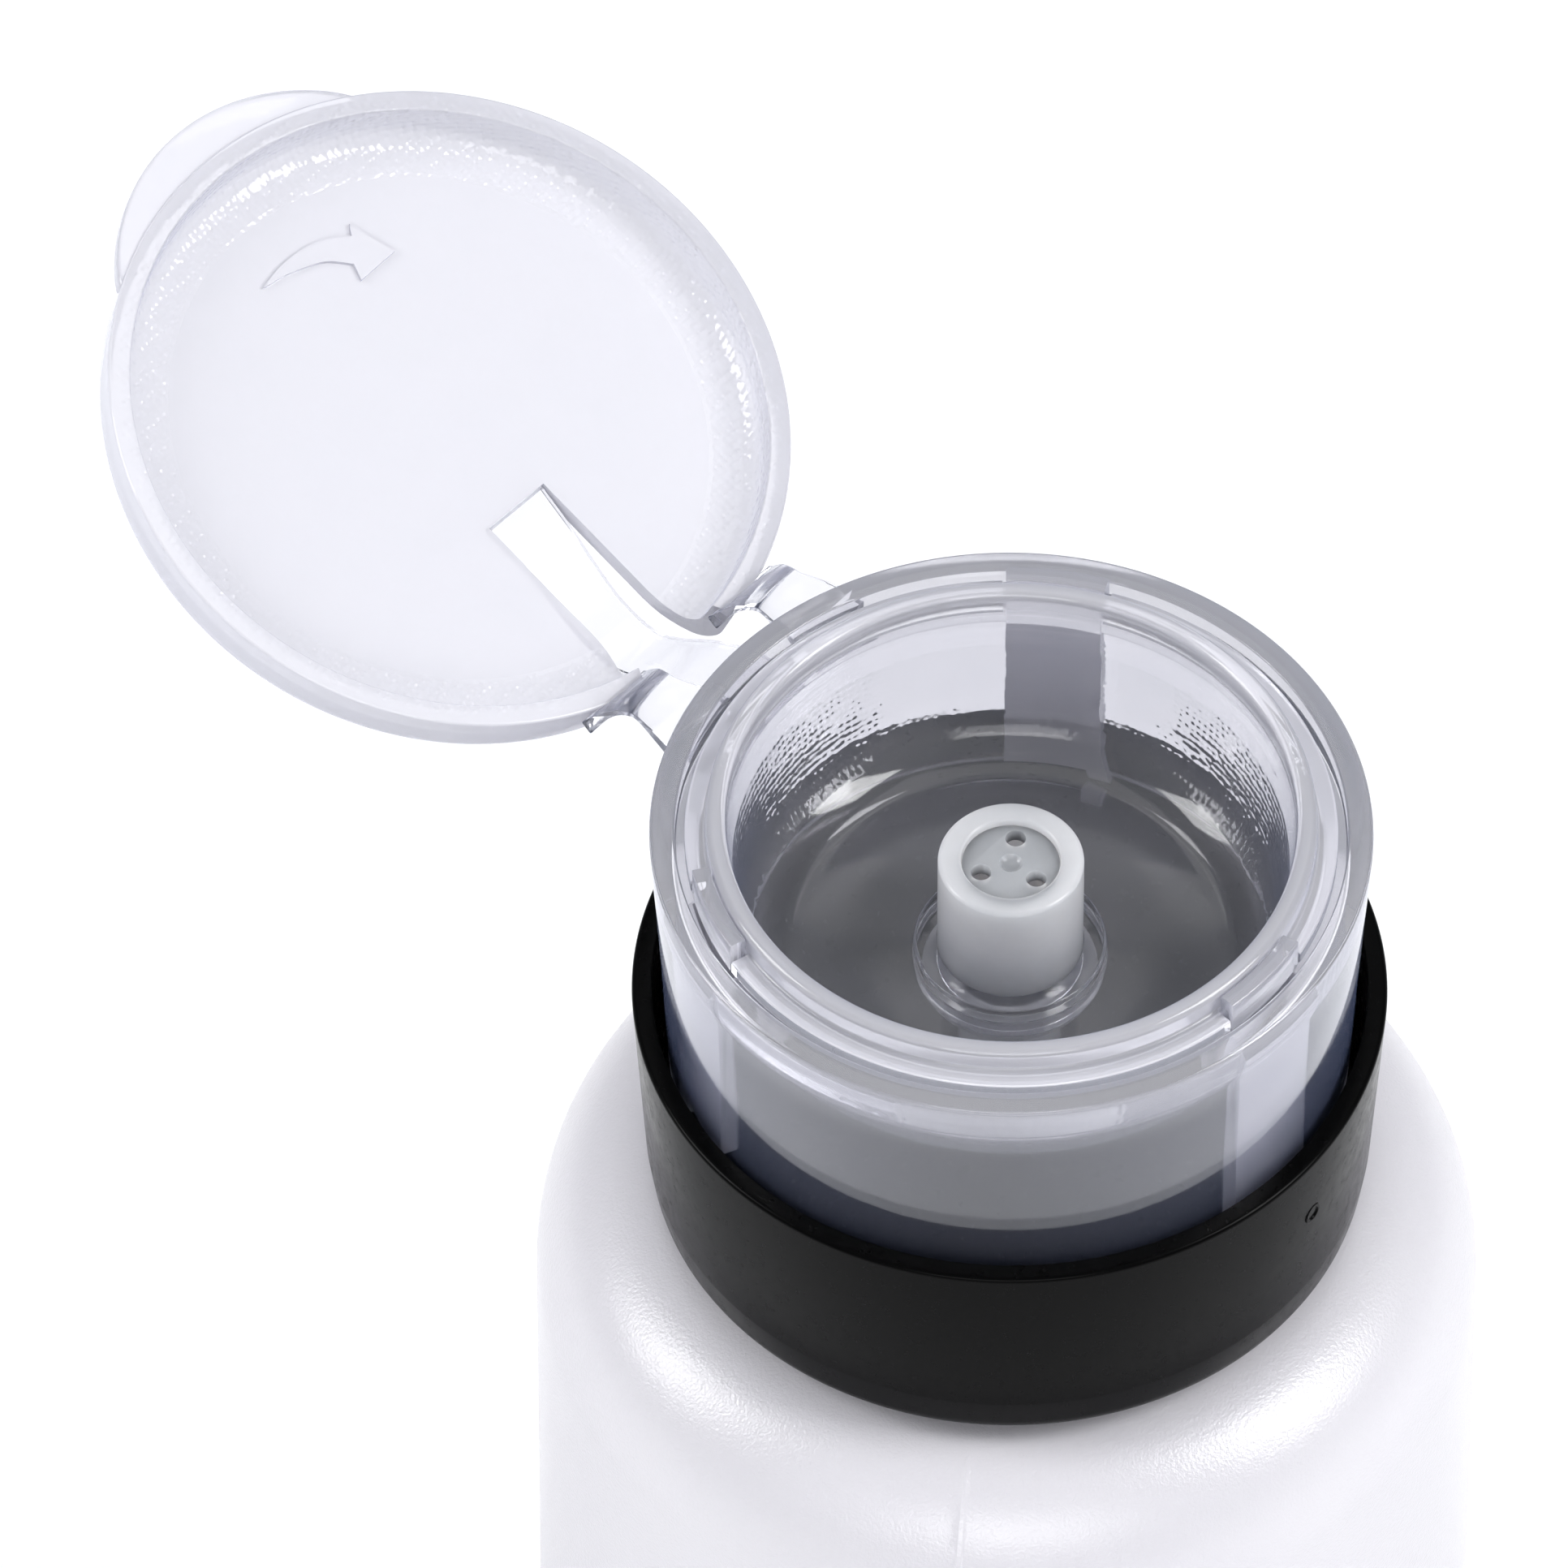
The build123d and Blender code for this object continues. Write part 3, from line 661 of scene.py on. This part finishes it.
post_outline = [
    (stem_socket_r, post_foot, 0.2),
    (base_r, post_foot, 0.3),
    (base_r, post_foot + base_height, 0.2),
    (post_r, post_foot + base_height, 0.1),
    (post_r, post_top, 0.3),
    (disc_r + 0.05, post_top, 0.2),
    (disc_r + 0.05, disc_top - 1.0, 0.05),
    (bore_step_r, disc_top - 1.0, 0.05),
    (bore_step_r, disc_top - 2.0, 0.2),
    (channel_r, disc_top - 2.0, 0.2),
    (channel_r, disc_top - 5.7, 0.2),
    (stem_socket_r, disc_top - 5.7, 0.1),
]
post = lathe("nozzle_post_column", post_outline)
finish_piece(post, natural_polypropylene, "head", "natural_polypropylene", "nozzle_post")

# The disc: a bevelled plate between its outline and its three holes, then the dimple is cut.
drawing = bpy.data.curves.new("disc_drawing", "CURVE")
drawing.dimensions, drawing.fill_mode = "2D", "BOTH"
hole_ring_r, hole_r, bevel, plate_half = 2.0, 0.68, 0.05, 0.44
circles = [(0, 0, disc_r - bevel)]
circles += [
    (hole_ring_r * cos(radians(a)), hole_ring_r * sin(radians(a)), hole_r) for a in tab_angles
]
for cx, cy, radius in circles:
    spline = drawing.splines.new("POLY")
    spline.points.add(47)
    spline.use_cyclic_u = True
    for k, point in enumerate(spline.points):
        turn = k * pi / 24
        point.co = ((cx + radius * cos(turn)) * MM, (cy + radius * sin(turn)) * MM, 0, 1)
drawing.extrude, drawing.bevel_depth, drawing.bevel_resolution = plate_half * MM, bevel * MM, 2
drawn = bpy.data.objects.new("disc_drawn", drawing)
bpy.context.collection.objects.link(drawn)
mesh = bpy.data.meshes.new_from_object(drawn.evaluated_get(bpy.context.evaluated_depsgraph_get()))
bpy.data.objects.remove(drawn)
mesh.transform(Matrix.Translation((0, 0, (disc_top - plate_half - bevel) * MM)))
disc = bpy.data.objects.new("nozzle_disc_plate", mesh)
bpy.context.collection.objects.link(disc)
dimple_outline = [
    (0, disc_top - 0.32, 0),
    (0.5, disc_top - 0.25, 0.2),
    (0.78, disc_top + 0.05, 0.05),
    (0.8, disc_top + 0.4, 0),
    (0, disc_top + 0.4, 0),
]
dimple = lathe("dimple", dimple_outline)
boolean(disc, "DIFFERENCE", dimple)
finish_piece(disc, natural_polypropylene, "head", "natural_polypropylene", "nozzle_disc")


# Lid. The clear flip lid is moulded in one with the head, drawn here shut and then swung
# open. A finger lip stands out opposite the hinge, and a slot for the snap tongue runs in
# from the hinge side with flared mouth corners.
hinge = next(joint for joint in frame["joints"] if joint["name"] == "lid_hinge")
hinge_y, hinge_z = hinge["pos_m"][1] / MM, hinge["pos_m"][2] / MM
open_angle = radians(hinge["range_deg"][1])
swing_open = (
    Matrix.Translation((0, hinge_y * MM, hinge_z * MM))
    @ Matrix.Rotation(-open_angle, 4, "X")
    @ Matrix.Translation((0, -hinge_y * MM, -hinge_z * MM))
)
ring_z = rim_z + 0.25
lid_top = ring_z + 4.3
lid_wall = 1.2
lid_outline = [
    (22.1, ring_z, 0.18),
    (21.95, lid_top, 1.6),
    (0, lid_top, 0),
    (0, lid_top - lid_wall, 0),
    (17.5, lid_top - lid_wall, 0),
    (17.8, lid_top - lid_wall, 0),
    (20.45, lid_top - lid_wall, 1.6),
    (20.7, ring_z, 0.15),
]
lid = lathe("lid_cap", lid_outline)


def plate(name, outline, low, high):
    """A flat plate of an (x, y) outline in millimetres between two heights."""
    build = bmesh.new()
    verts = [build.verts.new((x * MM, y * MM, low * MM)) for x, y in outline]
    base = build.faces.new(verts)
    lifted = bmesh.ops.extrude_face_region(build, geom=[base])
    for part in lifted["geom"]:
        if isinstance(part, bmesh.types.BMVert):
            part.co.z = high * MM
    return object_from(build, name)


def curve_through(points, steps):
    """Even steps along a smooth curve through (y, z) points."""
    curve = []
    for i in range(len(points) - 1):
        p = [Vector(points[max(0, min(len(points) - 1, i + j))]) for j in (-1, 0, 1, 2)]
        for k in range(steps):
            t = k / steps
            square = 2 * p[0] - 5 * p[1] + 4 * p[2] - p[3]
            cube = 3 * p[1] - p[0] - 3 * p[2] + p[3]
            curve.append(0.5 * (2 * p[1] + (p[2] - p[0]) * t + square * t * t + cube * t**3))
    return [tuple(c) for c in curve] + [tuple(points[-1])]


lip_half, lip_root_r, lip_reach = radians(30), 21.9, 2.8
lip_angles = [lip_half * (k / 24 - 1) for k in range(1, 48)]
lip_radii = [lip_root_r + lip_reach * cos(t / lip_half * pi / 2) ** 0.8 for t in lip_angles]
lip_outer = [(r * sin(t), -r * cos(t)) for r, t in zip(lip_radii, lip_angles)]
lip_back_angles = [lip_half * (1 - k / 12) for k in range(25)]
lip_inner = [(21.6 * sin(t), -21.6 * cos(t)) for t in lip_back_angles]
lip = plate("finger_lip", lip_outer + lip_inner, ring_z + 0.25, ring_z + 1.6)
soft = lip.modifiers.new("soft", "BEVEL")
soft.width, soft.segments = 0.3 * MM, 3
soft.limit_method, soft.angle_limit = "ANGLE", radians(50)
lip.data = bpy.data.meshes.new_from_object(
    lip.evaluated_get(bpy.context.evaluated_depsgraph_get())
)
lip.modifiers.clear()
boolean(lid, "UNION", lip)
slot_half, slot_end, flare_start, flare_length, flare_width = 2.5, 7.0, 16.5, 5.9, 2.1
slot_side = [(slot_half, slot_end), (slot_half, flare_start)]
slot_side += [
    (slot_half + flare_width * (k / 8) ** 2, flare_start + flare_length * k / 8)
    for k in range(1, 9)
]
slot_side += [(4.8, 25)]
slot_shape = slot_side + [(-x, y) for x, y in reversed(slot_side)]
boolean(lid, "DIFFERENCE", plate("slot", slot_shape, ring_z - 2, lid_top + 2))

# The turn arrow stands a little proud of the lid's inner face: a bowed band and its head.
arrow_outer = [(-2.2, -14.0), (-0.4, -14.35), (1.6, -14.35), (3.4, -13.9), (4.9, -13.0)]
arrow_head = [(5.4, -13.7), (6.4, -10.5), (3.2, -10.4)]
arrow_inner = [(3.6, -11.5), (2.4, -12.7), (1.0, -13.3), (-0.6, -13.75), (-2.1, -13.95)]
arrow = curve_through(arrow_outer, 6) + arrow_head + curve_through(arrow_inner, 6)
boolean(lid, "UNION", plate("turn_arrow", arrow, lid_top - 1.5, lid_top - 1.0))


def lid_stipple(p):
    """The ring face and the corner inside it are stippled."""
    return 1.0 if 17.6 < hypot(p.x, p.y) < 20.9 and p.z < lid_top - 0.9 else 0.0


marked(lid, "stipple", lid_stipple)
marked(lid, "thick", lambda p: 0.7)
lid.data.transform(swing_open)
finish_piece(lid, clear_polypropylene, "lid", "clear_polypropylene", "lid")


# Hinge straps. Two bow-tie bands moulded with shell and lid, full thickness at both ends and
# thinned to a living hinge where they cross the hinge line.
def band(name, x_middle, path, widths, thicknesses):
    """A strip along a (y, z) path, with a width and a thickness at each of its points."""
    points = [Vector((0, y, z)) for y, z in path]
    sideways = Vector((1, 0, 0))
    places = []
    for k, point in enumerate(points):
        along = (points[min(k + 1, len(points) - 1)] - points[max(k - 1, 0)]).normalized()
        up = sideways.cross(along)
        origin = point + Vector((x_middle, 0, 0))
        places.append((origin, Vector((widths[k] / 2, 0, 0)), up * thicknesses[k] / 2))
    corner, shoulder = 0.86, 0.97
    quarter = [(1, corner), (shoulder, 1), (-shoulder, 1), (-1, corner)]
    profile = [(1, -corner)] + quarter + [(-1, -corner), (-shoulder, -1), (shoulder, -1)]
    return swept(name, profile, places)


def shares_along(path):
    """How far along a path each of its points is, from 0 to 1."""
    return [k / (len(path) - 1) for k in range(len(path))]


strap_points = [
    (rim_r - 1.6, rim_z - 2.2),
    (rim_r + 0.6, rim_z - 2.15),
    (hinge_y + 0.9, rim_z - 2.4),
    (26.5, rim_z - 3.3),
    (28.0, rim_z - 5.4),
]
strap_offset, strap_neck, strap_flare = 5.8, 4.0, 1.8
hinge_thickness, strap_thickness = 0.32, 0.7
for side, name in ((-1, "hinge_strap_left"), (1, "hinge_strap_right")):
    path = curve_through(strap_points, 8)
    widths = [strap_neck + strap_flare * abs(2 * t - 1) ** 1.3 for t in shares_along(path)]
    thicknesses = [
        hinge_thickness + strap_thickness * min(1.0, abs(2 * t - 1.1)) ** 1.5
        for t in shares_along(path)
    ]
    strap = band(f"{name}_band", side * strap_offset, path, widths, thicknesses)
    strap.data.materials.append(clear_polypropylene)
    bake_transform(strap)
    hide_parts(name)


# Snap tongue. The springy middle band: it leaves the lid at the slot's inner end, sags below
# the hinge line and runs into the shell's wall, so the lid clicks past its middle.
tongue_points = [
    (42.4, rim_z - 3.3),
    (39.2, rim_z - 5.2),
    (35.4, rim_z - 8.0),
    (32.1, rim_z - 8.9),
    (29.8, rim_z - 8.1),
    (26.5, rim_z - 5.9),
    (rim_r - 0.4, rim_z - 3.9),
]
tongue_width, tongue_waist, tongue_thickness = 4.9, 0.9, 0.9
path = curve_through(tongue_points, 8)
widths = [tongue_width - tongue_waist * sin(pi * min(1, t * 1.1)) for t in shares_along(path)]
tongue = band("snap_tongue_band", 0, path, widths, [tongue_thickness] * len(path))
tongue.data.materials.append(clear_polypropylene)
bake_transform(tongue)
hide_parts("snap_tongue")


# Check balls and return spring. Drawn stainless steel, bright with fine draw lines. The balls
# keep their CAD shape. The spring is a coil of round wire round the stem, between the
# housing and the piston, drawn at one length: it does not flatten as the head goes down.
def show_cad(material, *names):
    """Gives CAD nodes that are shown as they are a material."""
    for name in names:
        frame["nodes"][name].data.materials.clear()
        frame["nodes"][name].data.materials.append(material)


stainless, tree = new_material("stainless_steel_drawn")
place = add_node(tree, "ShaderNodeTexCoord")
draw_line_width = 0.0004
drawn_lines = add_node(
    tree,
    "ShaderNodeTexNoise",
    {"Vector": place.outputs["Object"], "Scale": 1 / draw_line_width, "Detail": 2.0},
)
shine = add_node(
    tree,
    "ShaderNodeMapRange",
    {"Value": drawn_lines.outputs["Fac"], "To Min": 0.18, "To Max": 0.34},
)
surface = add_node(
    tree,
    "ShaderNodeBsdfPrincipled",
    {"Base Color": linear("#c9c9cb"), "Metallic": 1.0, "Roughness": shine.outputs["Result"]},
)
add_node(tree, "ShaderNodeOutputMaterial", {"Surface": surface.outputs["BSDF"]})
show_cad(stainless, "inlet_ball", "outlet_ball")

spring_low, spring_high = (corner.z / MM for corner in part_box("return_spring"))
wire_r, coil_r, coils, coil_steps = 0.4, 4.1, 6.5, 260
places = []
for k in range(coil_steps + 1):
    angle = 2 * pi * coils * k / coil_steps
    out = Vector((cos(angle), sin(angle), 0))
    height = spring_low + wire_r + (spring_high - spring_low - 2 * wire_r) * k / coil_steps
    places.append((out * coil_r + Vector((0, 0, height)), out * wire_r, Vector((0, 0, wire_r))))
wire_section = [(cos(pi * k / 6), sin(pi * k / 6)) for k in range(12)]
spring = swept("return_spring_coil", wire_section, places)
finish_piece(spring, stainless, "pump_engine", "stainless_steel", "return_spring")
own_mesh(spring)


# Stem, housing and cap. Injection-moulded polypropylene: the stem natural like the post it is
# pressed into, and the housing and its cap black like the collar that clamps them to the neck.
show_cad(natural_polypropylene, "piston_stem")
show_cad(black_polypropylene, "pump_housing", "housing_cap")


# Piston seal, dip tube and neck gasket. Soft low-density polyethylene, milky and half matt, and
# the tube shows fine marks along it from the extruder's die.
soft_polyethylene, tree = new_material("low_density_polyethylene_extruded")
place = add_node(tree, "ShaderNodeTexCoord")
die_mark_width = 0.0008
draw_marks = add_node(
    tree,
    "ShaderNodeTexNoise",
    {"Vector": place.outputs["Object"], "Scale": 1 / die_mark_width, "Detail": 2.0},
)
mark_bump = add_node(
    tree,
    "ShaderNodeBump",
    {"Strength": 0.2, "Distance": 0.00004, "Height": draw_marks.outputs["Fac"]},
)
tone = add_node(tree, "ShaderNodeValToRGB", {"Fac": draw_marks.outputs["Fac"]})
tone.color_ramp.elements[0].color = linear("#dddcd8")
tone.color_ramp.elements[1].color = linear("#ecebe8")
surface = add_node(
    tree,
    "ShaderNodeBsdfPrincipled",
    {
        "Base Color": tone.outputs["Color"],
        "Roughness": 0.45,
        "IOR": 1.51,
        "Transmission Weight": 0.3,
        "Normal": mark_bump.outputs["Normal"],
    },
)
add_node(tree, "ShaderNodeOutputMaterial", {"Surface": surface.outputs["BSDF"]})
show_cad(soft_polyethylene, "piston_seal", "dip_tube", "neck_gasket")


# Floor. One large sheet of white backdrop paper with a matt, slightly fibrous face. It is not
# part of the object.
floor_mesh = bpy.data.meshes.new("floor")
reach = 6.0
floor_corners = [(-reach, -reach, 0), (reach, -reach, 0), (reach, reach, 0), (-reach, reach, 0)]
floor_mesh.from_pydata(floor_corners, [], [(0, 1, 2, 3)])
floor = bpy.data.objects.new("floor", floor_mesh)
bpy.context.collection.objects.link(floor)
white_paper, tree = new_material("white_backdrop_paper")
place = add_node(tree, "ShaderNodeTexCoord")
fibre_length = 0.003
fibre = add_node(
    tree,
    "ShaderNodeTexNoise",
    {"Vector": place.outputs["Object"], "Scale": 1 / fibre_length, "Detail": 3.0},
)
tone = add_node(tree, "ShaderNodeValToRGB", {"Fac": fibre.outputs["Fac"]})
tone.color_ramp.elements[0].color = linear("#f9f9f9")
tone.color_ramp.elements[1].color = linear("#fcfcfc")
surface = add_node(
    tree, "ShaderNodeBsdfPrincipled", {"Base Color": tone.outputs["Color"], "Roughness": 0.9}
)
add_node(tree, "ShaderNodeOutputMaterial", {"Surface": surface.outputs["BSDF"]})
floor.data.materials.append(white_paper)


# Light. A pale room and four soft boxes: tall ones at the left and the right draw the two
# highlights on the shoulder, a large one stands behind and above, and a wide low one in front.
world = bpy.data.worlds.new("pale_room")
bpy.context.scene.world = world
world.use_nodes = True
background = world.node_tree.nodes["Background"]
background.inputs["Color"].default_value = linear("#e9ecf3")
background.inputs["Strength"].default_value = 0.5


def soft_box(name, azimuth, elevation, distance, size, power):
    """An area light that looks at the head: angles in degrees, metres and watts."""
    target = Vector((0, 0, 0.11))
    a, e = radians(azimuth), radians(elevation)
    out = Vector((sin(a) * cos(e), -cos(a) * cos(e), sin(e)))
    lamp = bpy.data.lights.new(name, "AREA")
    lamp.shape, lamp.size, lamp.size_y, lamp.energy = "RECTANGLE", size[0], size[1], power
    made = bpy.data.objects.new(name, lamp)
    made.location = target + out * distance
    made.rotation_euler = (-out).to_track_quat("-Z", "Y").to_euler()
    bpy.context.collection.objects.link(made)


view_azimuth, view_elevation = -48.2, 50.8
soft_box("box_left", view_azimuth - 90, 36, 0.8, (0.26, 0.5), 3.4)
soft_box("box_right", view_azimuth + 79, 43, 0.8, (0.26, 0.5), 4.6)
soft_box("box_top", view_azimuth + 180, 70, 0.9, (0.6, 0.6), 1.0)
soft_box("box_front", view_azimuth, 27, 1.0, (0.7, 0.4), 3.1)


# Camera: a long lens from above the front left, aimed so that the head stands right of the
# middle and the open lid reaches to the upper left.
camera_data = bpy.data.cameras.new("camera")
camera = bpy.data.objects.new("camera", camera_data)
bpy.context.collection.objects.link(camera)
bpy.context.scene.camera = camera
distance = 1.5
frame_width = 97.3 * MM  # width of the view in the plane of the rim's centre
sensor = 36
camera_data.sensor_width = sensor
camera_data.lens = sensor * distance / frame_width
a, e = radians(view_azimuth), radians(view_elevation)
towards = Vector((sin(a) * cos(e), -cos(a) * cos(e), sin(e)))
right = Vector((cos(a), sin(a), 0))
up = towards.cross(right)
rim_centre = Vector((0, 0, rim_z * MM))
camera.location = rim_centre + towards * distance
aim_left, aim_up = 14.14, 2.65
aim = rim_centre - right * aim_left * MM + up * aim_up * MM
camera.rotation_euler = (aim - camera.location).to_track_quat("-Z", "Y").to_euler()

bpy.context.scene.view_settings.view_transform = "Standard"
